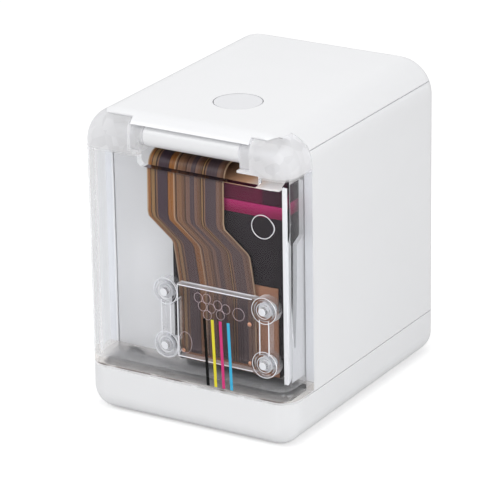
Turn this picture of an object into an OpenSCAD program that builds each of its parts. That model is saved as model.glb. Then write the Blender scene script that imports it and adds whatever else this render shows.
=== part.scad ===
// Handheld ink-jet printer with a clear flip-up front cover.
// +X is to the right seen from the front, the front faces -Y, +Z is up.
// The origin is the middle of the underside.  All sizes are millimetres.

/* [Body] */
// Width of the body
body_w = 51; // [48:0.5:60]
// Depth of the body, front to back
body_d = 66; // [64:0.5:80]
// Height of the body, base cap included
body_h = 69; // [68.5:0.5:80]
// Radius of the two upper corners seen from the front
top_round = 8; // [7:0.5:9]
// Fillet along the front and back edges
edge_round = 4.2; // [3.5:0.1:4.6]
// Radius of the two lower corners seen from the front
base_round = 5; // [4.6:0.1:7]
// Wall of the white housing
wall = 2; // [1.6:0.1:2.2]
// Height of the base cap
cap_h = 10.2; // [10:0.1:12]
// Drop from the top to the seam below the top cover
top_seam_drop = 4.7; // [4.5:0.1:5.5]

/* [Clear cover] */
// Wall of the clear cover
clear_wall = 1.8; // [1.4:0.1:2]
// Depth of the clear cover along the sides
side_depth = 10; // [9.5:0.1:11]
// Gap between the clear cover and the housing
cover_gap = 0.3; // [0.2:0.05:0.4]
// Gap under the clear cover
sill_gap = 0.55; // [0.5:0.05:0.8]
// Distance of the hinge axis behind the front face
hinge_back = 3.4; // [3.2:0.1:3.6]
// Distance of the hinge axis below the top
hinge_drop = 4.8; // [4.7:0.1:5]
// Offset of the hinge from the middle, to the right
hinge_x = 1.4; // [-1:0.1:2]
// Diameter of the hinge pin
pin_d = 2; // [1.6:0.1:2.2]
// Running clearance around the hinge pin
pin_play = 0.06; // [0.03:0.01:0.1]
// Diameter of the white hinge barrel
barrel_d = 5; // [4.4:0.1:5]
// Length of the white hinge barrel
barrel_l = 23.2; // [20:0.2:24]
// Width of the tongue of the top cover over the barrel
tongue_w = 28.8; // [28:0.2:31]
// Width of one clear knuckle
knuckle_w = 5.2; // [4:0.2:5.4]

/* [Press block and flex] */
// Offset of the press block from the middle, to the right
block_x = 6.2; // [5:0.1:7]
// Height of the middle of the press block
block_z = 24.2; // [23:0.2:26]
// Spacing of the block screws across
screw_dx = 24.2; // [23:0.2:24.6]
// Spacing of the block screws in height
screw_dz = 12.2; // [11:0.2:13]
// Width of the press block between its ears
block_w = 20.6; // [19:0.2:21]
// Height of the press block
block_h = 16.6; // [15:0.2:18]
// Diameter of a block ear
ear_d = 6; // [5:0.1:6.2]
// Thread diameter of the small screws
screw_d = 1.8; // [1.6:0.1:2]
// Head diameter of the small screws
head_d = 3.4; // [3:0.1:3.6]
// Width of the flat flex cable
flex_w = 18.8; // [17:0.2:19]
// Thickness of the flex cable
flex_t = 0.3; // [0.25:0.05:0.35]
// Width of a coloured guide line
line_w = 0.7; // [0.5:0.05:0.8]
// Pitch of the guide lines
line_pitch = 1.95; // [1.6:0.05:2.1]
// Lean of the guide lines in degrees
line_tilt = 2.2; // [0:0.1:3]

/* [Cartridge] */
// Width of the ink cartridge
cart_w = 26.8; // [25:0.2:27]
// Depth of the ink cartridge
cart_d = 39; // [36:0.5:40]
// Height of the cartridge lid
lid_h = 6; // [5:0.2:7]
// Clearance between the cartridge and its bay
bay_gap = 0.4; // [0.3:0.05:0.5]
// Wall of the inner frame
rib = 1.3; // [1.1:0.1:1.5]

/* [Button] */
// Diameter of the power button
button_d = 10.4; // [9:0.2:11]
// Offset of the power button from the middle, to the right
button_x = 2.6; // [-1:0.2:3]
// Distance of the button centre behind the front face
button_back = 18.6; // [17:0.2:20]
// Travel of the power button
button_travel = 0.6; // [0.4:0.05:0.7]
// Gap around the power button
button_gap = 0.2; // [0.15:0.05:0.3]

/* [Rollers] */
// Diameter of a guide roller tyre
tyre_d = 4.8; // [4.4:0.1:5]
// Width of a guide roller tyre
tyre_w = 5; // [4:0.2:6]
// Diameter of a roller axle
axle_d = 2; // [1.6:0.1:2.2]
// Distance of each axle from the middle
axle_x = 19; // [18.6:0.1:19.2]
// Running clearance of the axles
axle_play = 0.05; // [0.03:0.01:0.1]

/* [Hidden] */
$fn = 48;
eps = 0.01;

front_y = -body_d / 2;
side_x = body_w / 2;
seam_z = body_h - top_seam_drop;          // side seam below the top cover
seam_y = front_y + side_depth;            // upright seam behind the clear cover
hinge_y = front_y + hinge_back;
hinge_z = body_h - hinge_drop;
cheek_up = 0.9;                           // cheeks reach this far above the axis
recess_r = hinge_drop - 0.7;              // recess of the top cover round the axis
lip_r = recess_r - 0.15;                  // clear cover inside the recess
nose_front = 1.5;                         // top cover starts this far in front of the axis
nose_back = 2.2;                          // and this far behind it under the tongue
corner_x = 21.3;                          // from here outwards the recess is wider
corner_lip_r = side_depth - hinge_back - cover_gap;
groove_h = 0.25;                          // seam grooves of the housing
groove_in = 0.35;
tongue_under = hinge_z + barrel_d / 2 + 0.2;
notch_drop = 3.1;                         // front wall ends this far below the axis
cover_z0 = cap_h + sill_gap;
ledge_top = cover_z0 + clear_wall;
inner_front_y = front_y + clear_wall;
knuckle_r = lip_r - 0.25;
knuckle_x0 = tongue_w / 2 + 0.4;
roof_t = body_h - tongue_under;           // thickness of the top cover's roof

// Flex and press block
flex_in = 4.25;                           // middle of the flex from the front face
flex_y = front_y + flex_in;
flex_x = -1.8;                            // middle of the upper run
flex_bend_r = 3;
flex_drop = 9.2;                          // run under the roof from the top of the body
flex_top_z = body_h - flex_drop;
flex_bend_z = flex_top_z - flex_bend_r;
flex_jog_drop = 11;
flex_jog_top = flex_bend_z - flex_jog_drop;
flex_jog_h = 5.2;
flex_low_x = block_x - 0.6;
block_back_y = flex_y - flex_t / 2 - 0.05;
block_t = 2;
block_z0 = block_z - block_h / 2;
post_d = ear_d - 1.4;
post_sink = 0.5;                          // posts of the cover reach this far into the block
line_z0 = ledge_top - 1.2;
line_z1 = block_z + 2.4;
line_t = 0.1;
function line_x(i) = block_x - 1.6 + i * line_pitch;

// Cartridge and inner frame
cart_front_y = flex_y + flex_t / 2 + 0.5;
cart_x0 = -5.6;
cart_x1 = cart_x0 + cart_w;
cart_top = body_h - 13;
cart_z0 = 14.2;
cart_back_y = cart_front_y + cart_d;
nose_x0 = 1.5;
nose_x1 = 14;
nose_y0 = seam_y + 0.5;
nose_y1 = nose_y0 + 14;
lid_rim_h = 2.6;                          // bright rim of the lid
lid_in = 0.3;                             // upper part of the lid stands in
vent_in_x = 6;
vent_in_y = 8;
vent_deep = 0.5;
grip_d = 4;                               // finger step at the back of the lid
grip_h = 1.8;
frame_top = cart_top + 1.5;
floor_z0 = cap_h + 1.3;
floor_t = 1.5;
floor_z1 = floor_z0 + floor_t;
boss_up = 0.9;                            // screw bosses rise this far above the floor
shell_in_x = side_x - wall;
shell_in_y = body_d / 2 - wall;
frame_gap = 0.2;
bay_back_y = cart_back_y + bay_gap;

// Bottom plate and rollers
plate_z0 = 7.2;
plate_z1 = cap_h;
plate_in = wall + 0.3;
axle_z = 8.8;
tyre_front = 13;                          // front tyres from the front face
tyre_back = 11;                           // back tyres from the back face
tyre_y = [front_y + tyre_front, body_d / 2 - tyre_back];
axle_front = 7;
axle_back = 5;
axle_y0 = front_y + axle_front;
axle_y1 = body_d / 2 - axle_back;
encoder_y = 4;
plate_screw_x = 12.5;
plate_screw_back = 9;
plate_screws = [[0.5 - plate_screw_x, nose_y0 + 8.5], [nose_x1 - 5, nose_y1 + 7.5],
    [-plate_screw_x, body_d / 2 - plate_screw_back], [plate_screw_x, body_d / 2 - plate_screw_back]];
magnet_d = 4;
magnet_t = 2;
magnet_front = 5.5;                       // front magnets from the front face
magnet_back = 4.4;                        // back magnets from the back face
magnet_x = [9, 5];
magnet_pos = [for (x = magnet_x[0] * [-1, 1]) [x, front_y + magnet_front],
    for (x = magnet_x[1] * [-1, 1]) [x, body_d / 2 - magnet_back]];
cap_floor = 2.2;

// Electronics
board_t = 1.5;
board_y = shell_in_y - 1 - board_t;
board_w = 40;
board_z0 = floor_z1 + 0.2;
board_z1 = flex_top_z + 2.4;
board_hole_in = 3;
board_hole_r = 1.1;
plug_over = 2;                            // flex connector stands out beyond the flex
plug_d = 3.4;
plug_h = 2.8;
plug_grip = 1;
can_x0 = -16;
can_w = 14;
can_t = 1.4;
can_up = 8;
can_h = 18;
usb_w = 9;
usb_h = 3.2;
usb_z = floor_z1 + 5;
cell_w = 38;
cell_h = 37;

// Power button
button_y = front_y + button_back;
flange_d = button_d + 2;
switch_top = tongue_under - 2.6;
switch_h = 2.2;
switch_board_t = 1;

// ---------- shared shapes ----------

// Rectangle with round corners, centred
module round_rect(w, d, r) {
    square([w - 2 * r, d], center = true);
    square([w, d - 2 * r], center = true);
    for (x = [-1, 1], y = [-1, 1]) translate([x * (w / 2 - r), y * (d / 2 - r)]) circle(r);
}

// Block whose two upper corners are turned about Y with radius big, and whose
// edges all have the fillet r.  Flat at z0.
module soft_block(w, d, z0, z1, big, r) {
    translate([0, 0, z0]) linear_extrude(z1 - big - z0) round_rect(w, d, r);
    translate([-(w / 2 - big), 0, 0]) rotate([90, 0, 90]) linear_extrude(w - 2 * big)
        union() {
            translate([-d / 2, z0]) square([d, z1 - r - z0]);
            translate([-d / 2 + r, z0]) square([d - 2 * r, z1 - z0]);
            for (y = [-1, 1]) translate([y * (d / 2 - r), z1 - r]) circle(r);
        }
    for (x = [-1, 1]) translate([x * (w / 2 - big), 0, z1 - big]) rotate([90, 0, 0])
        rotate_extrude($fn = 64) intersection() {
            round_rect(2 * big, d, r);
            translate([0, -d / 2]) square([big, d]);
        }
}

// Whole outer form above the base cap
module outer_form() {
    soft_block(body_w, body_d, cap_h, body_h, top_round, edge_round);
}

// Hollow of the white housing
module hollow_form(t, roof) {
    soft_block(body_w - 2 * t, body_d - 2 * t, cap_h - 1, body_h - roof, top_round - t, edge_round - t);
}

// Plate lying in Y and Z, given by its outline, between x0 and x1
module side_plate(x0, x1) {
    translate([x0, 0, 0]) rotate([90, 0, 90]) linear_extrude(x1 - x0) children();
}

// Box from its two corners
module block(a, b) {
    translate(a) cube([b[0] - a[0], b[1] - a[1], b[2] - a[2]]);
}

// Rod along X, and rod along Y
module rod_x(x0, x1, r) {
    translate([x0, 0, 0]) rotate([0, 90, 0]) cylinder(h = x1 - x0, r = r);
}

module rod_y(y0, y1, r) {
    translate([0, y0, 0]) rotate([-90, 0, 0]) cylinder(h = y1 - y0, r = r);
}

module at_hinge() {
    translate([hinge_x, hinge_y, hinge_z]) children();
}

// ---------- housing ----------

module usb_cut(extra) {
    r = usb_h / 2 + extra;
    for (s = [-1, 1]) translate([s * (usb_w - usb_h) / 2, 0, usb_z]) rod_y(board_y, body_d / 2 + 1, r);
    block([-(usb_w - usb_h) / 2, board_y, usb_z - r], [(usb_w - usb_h) / 2, body_d / 2 + 1, usb_z + r]);
}

// Shallow groove round the outside, its lower edge at z
module seam_groove(z) {
    difference() {
        block([-side_x - 1, front_y - 1, z], [side_x + 1, body_d / 2 + 1, z + groove_h]);
        hollow_form(groove_in, groove_in);
    }
}

module body_shell() {
    color([0.95, 0.95, 0.96]) difference() {
        intersection() {
            outer_form();
            block([-side_x - 1, seam_y, cap_h], [side_x + 1, body_d / 2 + 1, seam_z]);
        }
        hollow_form(wall, roof_t);
        usb_cut(0.3);
        seam_groove(cap_h);
        seam_groove(seam_z - groove_h);
    }
}

module cover_region() {
    block([-side_x - 1, seam_y, seam_z], [side_x + 1, body_d / 2 + 1, body_h + 1]);
    block([-side_x - 1, hinge_y - nose_front, hinge_z + cheek_up + cover_gap],
        [side_x + 1, seam_y + 1, body_h + 1]);
    block([hinge_x - tongue_w / 2, front_y - 1, tongue_under], [hinge_x + tongue_w / 2, seam_y, body_h + 1]);
}

module switch_posts() {
    for (x = [-1, 1]) translate([button_x + x * 7.6, button_y, switch_top - switch_h])
        cylinder(h = tongue_under - switch_top + switch_h + 0.5, r = 1.3);
}

module top_cover() {
    color([0.96, 0.96, 0.97]) difference() {
        union() {
            difference() {
                intersection() {
                    outer_form();
                    cover_region();
                }
                hollow_form(wall, roof_t);
                // round recesses in which the clear cover turns
                at_hinge() for (s = [0, 1]) mirror([s, 0, 0])
                    rod_x(tongue_w / 2, side_x + 3, recess_r);
                for (s = [0, 1]) mirror([s, 0, 0]) translate([0, hinge_y, hinge_z])
                    rod_x(corner_x, side_x + 3, corner_lip_r + 0.15);
                // room for the barrel under the tongue
                block([hinge_x - tongue_w / 2, front_y - 1, cap_h],
                    [hinge_x + tongue_w / 2, hinge_y + nose_back, tongue_under]);
                translate([button_x, button_y, tongue_under - 1])
                    cylinder(h = roof_t + 2, r = button_d / 2 + button_gap);
            }
            at_hinge() rod_x(-barrel_l / 2, barrel_l / 2, barrel_d / 2);
            // web between the barrel and the roof
            block([hinge_x - barrel_l / 2, hinge_y - 0.2, hinge_z],
                [hinge_x + barrel_l / 2, hinge_y + barrel_d / 2, tongue_under + 0.5]);
            switch_posts();
        }
        at_hinge() rod_x(-side_x + 2, side_x - 2, pin_d / 2);
    }
}

module hinge_pin() {
    color([0.72, 0.73, 0.75]) at_hinge()
        rod_x(-(knuckle_x0 + knuckle_w - 0.6), knuckle_x0 + knuckle_w - 0.6, pin_d / 2);
}

// Outline of the right bay wall in Y and Z, with its funnel-shaped slot
module bay_wall_outline() {
    y0 = front_y + 3.2;
    slot_y = y0 + 2.9;
    z_foot = ledge_top + 1.2;
    difference() {
        polygon([[y0, z_foot], [bay_back_y + rib, z_foot], [bay_back_y + rib, frame_top], [y0, frame_top]]);
        polygon([[slot_y - 0.2, z_foot + 7.5], [slot_y + 0.2, z_foot + 7.5],
            [slot_y + 1.05, frame_top - 25.5], [slot_y + 1.3, frame_top - 13.5],
            [slot_y + 3.95, frame_top - 12.2], [slot_y + 3.95, frame_top + 1],
            [slot_y - 2.2, frame_top + 1], [slot_y - 2.2, frame_top - 11.5],
            [slot_y - 1.2, frame_top - 12.9], [slot_y - 1.4, frame_top - 25.5]]);
    }
}

module stud_rod() {
    translate([cart_x0 + 0.9, 0, ledge_top]) rod_y(seam_y - 0.15, seam_y + 1.4, 1.6);
}

module nose_window(extra) {
    block([nose_x0 - extra, nose_y0 - extra, plate_z0 - 1], [nose_x1 + extra, nose_y1 + extra, floor_z1 + 1]);
}

module inner_frame() {
    in_x = shell_in_x - frame_gap;
    in_y = shell_in_y - frame_gap;
    wall_x0 = cart_x0 - bay_gap - rib;
    right_x0 = cart_x1 + bay_gap + 0.5;
    right_x1 = shell_in_x - 0.4;
    color([0.88, 0.88, 0.9]) difference() {
        union() {
            // floor
            intersection() {
                translate([0, 0, floor_z0]) linear_extrude(floor_t)
                    round_rect(2 * in_x, 2 * in_y, edge_round - wall);
                block([-in_x, seam_y + 0.2, floor_z0], [in_x, in_y, floor_z1]);
            }
            // bosses for the plate screws
            for (p = plate_screws) translate([p[0], p[1], plate_z1]) cylinder(h = floor_z1 + boss_up - plate_z1, r = 2.6);
            // front wall left of the cartridge
            block([-in_x, seam_y + 0.2, plate_z1], [wall_x0 + rib, seam_y + 0.2 + 1.6, frame_top + 2]);
            // left, back and right walls of the cartridge bay
            block([wall_x0, seam_y + 0.2, floor_z0], [wall_x0 + rib, bay_back_y + rib, frame_top]);
            block([wall_x0, bay_back_y, floor_z0], [right_x1, bay_back_y + rib, frame_top]);
            side_plate(right_x0, right_x1) bay_wall_outline();
            block([right_x0, seam_y + 0.2, floor_z0], [right_x1, bay_back_y + rib, ledge_top + 1.5]);
            // board guides
            for (s = [-1, 1]) block([s * board_w / 2 - (s < 0 ? 1.6 : -0.2), board_y - 1.4, floor_z0],
                [s * board_w / 2 + (s < 0 ? -0.2 : 1.6), board_y + board_t + 0.8, board_z1 - 6]);
            // post behind the bay stud
            block([wall_x0, seam_y + 0.2, floor_z0], [cart_x0 + 3.4, seam_y + 2.2, cart_z0 - 0.3]);
        }
        stud_rod();
        nose_window(0.4);
        for (p = plate_screws) translate([p[0], p[1], plate_z1 - 1]) cylinder(h = 5, r = screw_d / 2);
        // room for the upper halves of the tyres
        for (s = [-1, 1], y = tyre_y)
            translate([s * axle_x, 0, axle_z]) rod_y(y - tyre_w / 2 - 0.5, y + tyre_w / 2 + 0.5, tyre_d / 2 + 0.6);
    }
}

// Slab of the printing face with its window, roller pockets and bearings
module bottom_plate() {
    edge = plate_in;
    color([0.23, 0.23, 0.25]) difference() {
        translate([0, 0, plate_z0]) linear_extrude(plate_z1 - plate_z0)
            round_rect(body_w - 2 * edge, body_d - 2 * edge, edge_round);
        nose_window(0.3);
        for (s = [-1, 1]) translate([s * axle_x, 0, axle_z]) {
            rod_y(axle_y0, body_d / 2, axle_d / 2 + axle_play);
            for (y = tyre_y) rod_y(y - tyre_w / 2 - 0.3, y + tyre_w / 2 + 0.3, tyre_d / 2 + 0.3);
        }
        translate([-axle_x, 0, axle_z]) rod_y(encoder_y - 0.6, encoder_y + 0.6, tyre_d / 2 - 0.1);
        for (p = plate_screws) translate([p[0], p[1], plate_z0 - 1]) {
            cylinder(h = 5, r = screw_d / 2);
            cylinder(h = 2.2, r = head_d / 2 + 0.1);
        }
        for (p = magnet_pos) translate([p[0], p[1], plate_z0 - 1]) cylinder(h = magnet_t + 1, r = magnet_d / 2);
    }
}

// Pan-head screw pointing along +Z, its head below z = 0
module small_screw(l) {
    cylinder(h = l, r = screw_d / 2);
    translate([0, 0, -1]) difference() {
        cylinder(h = 1, r = head_d / 2);
        translate([0, 0, -eps]) {
            block([-0.9, -0.2, 0], [0.9, 0.2, 0.5]);
            block([-0.2, -0.9, 0], [0.2, 0.9, 0.5]);
        }
    }
}

module frame_screws() {
    color([0.6, 0.6, 0.62]) for (p = plate_screws) translate([p[0], p[1], plate_z0 + 1.2]) small_screw(4.6);
}

module body_magnets() {
    color([0.7, 0.7, 0.72]) for (p = magnet_pos) translate([p[0], p[1], plate_z0])
        cylinder(h = magnet_t, r = magnet_d / 2);
}

// ---------- clear cover ----------

// Room of the clear cover in Y and Z: in front of the upright seam, and round the hinge
module cover_outline(r) {
    translate([front_y - 5, cover_z0])
        square([seam_y - cover_gap - front_y + 5, hinge_z + cheek_up - cover_z0]);
    translate([hinge_y, hinge_z]) circle(r);
}

// Solid corner of the clear cover with its turned knuckle.  The lug under the tongue
// starts at x_lug; s is -1 on the left and 1 on the right.
module knuckle(s, x_lug) {
    x0 = barrel_l / 2 + 0.4;
    intersection() {
        at_hinge() mirror([s < 0 ? 1 : 0, 0, 0]) {
            rod_x(x0, knuckle_x0 + 1, barrel_d / 2);
            rod_x(knuckle_x0, knuckle_x0 + knuckle_w, knuckle_r);
            intersection() {
                rod_x(x_lug, knuckle_x0 + 0.5, knuckle_r);
                block([x_lug, -barrel_d / 2, -knuckle_r], [knuckle_x0 + 0.5, 1.6, 0]);
            }
        }
        outer_form();
    }
}

// Printed line on the front face; its lower end leans to the right
module guide_line(i, w) {
    translate([line_x(i), front_y, line_z1]) rotate([0, -line_tilt, 0])
        block([-w / 2, 0, line_z0 - line_z1], [w / 2, line_t, 0]);
}

module screw_places() {
    for (x = [-1, 1], z = [-1, 1])
        translate([block_x + x * screw_dx / 2, 0, block_z + z * screw_dz / 2]) children();
}

module clear_cover() {
    color([0.9, 0.94, 0.97, 0.35]) difference() {
        union() {
            difference() {
                intersection() {
                    outer_form();
                    union() {
                        side_plate(-side_x - 1, side_x + 1) cover_outline(lip_r);
                        for (s = [0, 1]) mirror([s, 0, 0])
                            side_plate(corner_x + 0.15, side_x + 1) cover_outline(corner_lip_r);
                    }
                }
                soft_block(body_w - 2 * clear_wall, body_d - 2 * clear_wall, cap_h - 1,
                    body_h - clear_wall, top_round - clear_wall, edge_round - clear_wall);
                // notch in front of the barrel
                block([hinge_x - knuckle_x0, front_y - 1, hinge_z - notch_drop],
                    [hinge_x + knuckle_x0, seam_y, body_h + 1]);
            }
            // sill
            intersection() {
                outer_form();
                block([-side_x, front_y, cover_z0], [side_x, seam_y - cover_gap, ledge_top]);
            }
            knuckle(-1, knuckle_x0 - 2);
            knuckle(1, barrel_l / 2 + 0.4);
            // posts behind the front wall that carry the press block
            screw_places() rod_y(inner_front_y - 0.2, block_back_y - block_t + post_sink, post_d / 2);
        }
        at_hinge() for (s = [0, 1]) mirror([s, 0, 0])
            rod_x(barrel_l / 2, knuckle_x0 + knuckle_w - 0.5, pin_d / 2 + pin_play);
        screw_places() rod_y(front_y + 0.9, block_back_y, screw_d / 2);
        for (i = [0:3]) guide_line(i, i == 0 ? line_w * 0.65 : line_w);
    }
}

module guide_line_black() { color([0.05, 0.05, 0.05]) guide_line(0, line_w * 0.65); }
module guide_line_yellow() { color([0.95, 0.88, 0.2]) guide_line(1, line_w); }
module guide_line_magenta() { color([0.85, 0.2, 0.5]) guide_line(2, line_w); }
module guide_line_cyan() { color([0.25, 0.75, 0.9]) guide_line(3, line_w); }

module press_block() {
    y1 = block_back_y;
    y0 = y1 - block_t;
    pad_w = block_w - 9;
    color([0.88, 0.93, 0.97, 0.4]) difference() {
        union() {
            block([block_x + 1 - block_w / 2, y0, block_z0], [block_x + 1 + block_w / 2, y1, block_z0 + block_h]);
            screw_places() rod_y(y0, y1, ear_d / 2);
            // bridges to the ears, and side rails between them
            for (z = [-1, 1]) block([block_x - screw_dx / 2, y0, block_z + z * screw_dz / 2 - 1.3],
                [block_x + screw_dx / 2, y1, block_z + z * screw_dz / 2 + 1.3]);
            for (x = [-1, 1]) translate([block_x + x * screw_dx / 2, 0, 0])
                block([-1.1, y0, block_z - screw_dz / 2], [1.1, y1, block_z + screw_dz / 2]);
        }
        screw_places() {
            rod_y(y0 - 1, y1 + 1, screw_d / 2 + 0.1);
            rod_y(y1 - 1, y1 + 1, head_d / 2 + 0.15);
            // the cover's posts end inside the block
            rod_y(y0 - 1, y0 + post_sink, post_d / 2 + 0.15);
        }
        block([block_x + 1 - pad_w / 2, y1 - 1, block_z0 + 3], [block_x + 1 + pad_w / 2, y1 + 1, block_z0 + block_h - 3]);
    }
}

module pressure_pad() {
    y1 = block_back_y;
    pad_w = block_w - 9;
    color([0.5, 0.42, 0.4]) block([block_x + 1 - pad_w / 2, y1 - 1, block_z0 + 3],
        [block_x + 1 + pad_w / 2, y1, block_z0 + block_h - 3]);
}

module block_screws() {
    color([0.75, 0.76, 0.78]) screw_places() translate([0, block_back_y - 1, 0]) rotate([90, 0, 0])
        small_screw(block_back_y - 1 - front_y - 1);
}

module flex_front() {
    y0 = flex_y - flex_t / 2;
    z_low = block_z0 + 0.4;
    w = flex_w / 2;
    color([0.55, 0.32, 0.16]) translate([0, y0 + flex_t, 0]) rotate([90, 0, 0]) linear_extrude(flex_t)
        polygon([[flex_x - w, flex_bend_z], [flex_x - w, flex_jog_top], [flex_low_x - 1.2 - w, flex_jog_top - flex_jog_h],
            [flex_low_x - w, block_z0 + block_h], [flex_low_x - w, z_low], [flex_low_x + w, z_low],
            [flex_low_x + w, block_z0 + block_h], [flex_low_x - 1 + w, flex_jog_top - flex_jog_h],
            [flex_x + w, flex_jog_top], [flex_x + w, flex_bend_z]]);
}

module flex_tail() {
    y_c = flex_y + flex_bend_r;
    color([0.5, 0.3, 0.16]) side_plate(flex_x - flex_w / 2, flex_x + flex_w / 2) {
        translate([y_c, flex_top_z - flex_t / 2]) square([board_y - plug_d + plug_grip - y_c, flex_t]);
        translate([y_c, flex_bend_z + 0.15]) intersection() {
            difference() {
                circle(flex_bend_r + flex_t / 2);
                circle(flex_bend_r - flex_t / 2);
            }
            translate([-10, 0]) square(10);
        }
    }
}

// ---------- cartridge ----------

module cartridge_body() {
    shoulder = 5;
    color([0.09, 0.09, 0.1]) difference() {
        union() {
            block([cart_x0, cart_front_y, cart_z0 + shoulder], [cart_x1, cart_back_y, cart_top - lid_h]);
            block([cart_x0 + 1.2, cart_front_y, cart_z0], [cart_x1 - 1.2, cart_back_y - 6, cart_z0 + shoulder]);
            block([nose_x0, nose_y0, plate_z0], [nose_x1, nose_y1, cart_z0]);
        }
        // chamfered heel at the lower back edge
        translate([0, cart_back_y - 6, cart_z0 + shoulder]) rotate([45, 0, 0])
            translate([cart_x0 - 1, -6, -6]) cube([cart_w + 2, 6, 12]);
        // relief behind the contact strip
        block([flex_low_x - 9, cart_front_y - 1, cart_z0], [cart_x1 - 1, cart_front_y + 0.2, block_z0 + block_h + 2.4]);
    }
}

module cartridge_lid() {
    z0 = cart_top - lid_h;
    z1 = z0 + lid_rim_h;
    color([0.42, 0.1, 0.28]) difference() {
        union() {
            block([cart_x0, cart_front_y, z0], [cart_x1, cart_back_y, z1]);
            block([cart_x0 + lid_in, cart_front_y + lid_in, z1], [cart_x1 - lid_in, cart_back_y - lid_in, cart_top]);
        }
        // vent groove and finger step on top
        block([cart_x0 + vent_in_x, cart_front_y + vent_in_y, cart_top - vent_deep],
            [cart_x1 - vent_in_x, cart_back_y - vent_in_y, cart_top + 1]);
        block([cart_x0 - 1, cart_back_y - grip_d, cart_top - grip_h], [cart_x1 + 1, cart_back_y + 1, cart_top + 1]);
    }
}

module cartridge_contacts() {
    y0 = cart_front_y;
    color([0.7, 0.42, 0.2])
        block([flex_low_x - 8.6, y0, cart_z0 + 0.2], [cart_x1 - 1.4, y0 + 0.2, block_z0 + block_h + 2]);
}

module nozzle_plate() {
    color([0.75, 0.6, 0.3]) block([line_x(0) - 1.4, nose_y0 + 2, plate_z0 - 0.2], [line_x(3) + 1.4, nose_y1 - 2, plate_z0]);
}

module bay_stud() {
    color([0.12, 0.12, 0.13]) stud_rod();
}

// ---------- electronics ----------

module main_board() {
    color([0.1, 0.35, 0.2]) difference() {
        block([-board_w / 2, board_y, board_z0], [board_w / 2, board_y + board_t, board_z1]);
        for (x = [-1, 1]) translate([x * (board_w / 2 - board_hole_in), 0, board_z1 - board_hole_in])
            rod_y(board_y - 1, board_y + board_t + 1, board_hole_r);
    }
}

module flex_connector() {
    color([0.9, 0.88, 0.8]) difference() {
        block([flex_x - flex_w / 2 - plug_over, board_y - plug_d, flex_top_z - plug_h / 2],
            [flex_x + flex_w / 2 + plug_over, board_y, flex_top_z + plug_h / 2]);
        block([flex_x - flex_w / 2 - 0.1, board_y - plug_d - 1, flex_top_z - flex_t / 2],
            [flex_x + flex_w / 2 + 0.1, board_y - plug_d + plug_grip, flex_top_z + flex_t / 2]);
    }
}

module radio_can() {
    color([0.7, 0.71, 0.73]) block([can_x0, board_y - can_t, board_z0 + can_up],
        [can_x0 + can_w, board_y, board_z0 + can_up + can_h]);
}

module usb_socket() {
    y0 = board_y + board_t;
    r = usb_h / 2;
    color([0.68, 0.69, 0.71]) difference() {
        union() {
            for (s = [-1, 1]) translate([s * (usb_w - usb_h) / 2, 0, usb_z]) rod_y(y0, body_d / 2 - 0.6, r);
            block([-(usb_w - usb_h) / 2, y0, usb_z - r], [(usb_w - usb_h) / 2, body_d / 2 - 0.6, usb_z + r]);
        }
        for (s = [-1, 1]) translate([s * (usb_w - usb_h) / 2, 0, usb_z]) rod_y(y0 + 0.6, body_d / 2, r - 0.35);
        block([-(usb_w - usb_h) / 2, y0 + 0.6, usb_z - r + 0.35], [(usb_w - usb_h) / 2, body_d / 2, usb_z + r - 0.35]);
    }
}

module battery() {
    y0 = bay_back_y + rib + 0.3;
    t = board_y - 2 - y0;
    color([0.62, 0.64, 0.68]) translate([0, y0 + t / 2, floor_z1 + boss_up + 0.2])
        linear_extrude(cell_h) round_rect(cell_w, t, 1.5);
}

module switch_board() {
    color([0.1, 0.35, 0.2]) translate([button_x, button_y, switch_top - switch_h - switch_board_t])
        linear_extrude(switch_board_t) round_rect(19, 9, 1);
}

module tact_switch() {
    color([0.2, 0.2, 0.22]) translate([button_x, button_y, switch_top - switch_h]) {
        translate([-3, -3, 0]) cube([6, 6, switch_h - 0.6]);
        cylinder(h = switch_h, r = 1.7);
    }
}

module power_button() {
    color([0.9, 0.9, 0.91]) translate([button_x, button_y, 0]) {
        translate([0, 0, tongue_under - 0.2]) cylinder(h = roof_t + 0.15, r = button_d / 2);
        translate([0, 0, tongue_under - 1]) cylinder(h = 0.8, r = flange_d / 2 - 0.3);
        translate([0, 0, switch_top + button_travel + 0.2])
            cylinder(h = tongue_under - switch_top - button_travel - 0.4, r = 1.6);
    }
}

// ---------- rollers ----------

module axle(s) {
    color([0.72, 0.73, 0.75]) translate([s * axle_x, 0, axle_z]) rod_y(axle_y0 + 0.2, axle_y1 - 0.2, axle_d / 2);
}

module tyres(s) {
    color([0.15, 0.15, 0.16]) translate([s * axle_x, 0, axle_z]) for (y = tyre_y) difference() {
        rod_y(y - tyre_w / 2, y + tyre_w / 2, tyre_d / 2);
        rod_y(y - tyre_w, y + tyre_w, axle_d / 2);
        for (k = [-1, 0, 1]) translate([0, y + k * tyre_w / 4, 0]) difference() {
            rod_y(-0.2, 0.2, tyre_d);
            rod_y(-0.3, 0.3, tyre_d / 2 - 0.25);
        }
    }
}

module left_axle() { axle(-1); }
module right_axle() { axle(1); }
module left_tyres() { tyres(-1); }
module right_tyres() { tyres(1); }

module encoder_disc() {
    color([0.85, 0.86, 0.88]) translate([-axle_x, 0, axle_z]) difference() {
        rod_y(encoder_y - 0.3, encoder_y + 0.3, tyre_d / 2 - 0.4);
        rod_y(encoder_y - 1, encoder_y + 1, axle_d / 2);
    }
}

module encoder_sensor() {
    color([0.12, 0.12, 0.13]) difference() {
        block([-axle_x - 2, encoder_y - 2.4, plate_z1], [-axle_x + 2, encoder_y + 2.4, floor_z0]);
        block([-axle_x - 3, encoder_y - 0.7, plate_z1 - 1], [-axle_x + 3, encoder_y + 0.7, plate_z1 + 1]);
    }
}

// ---------- base cap ----------

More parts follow.
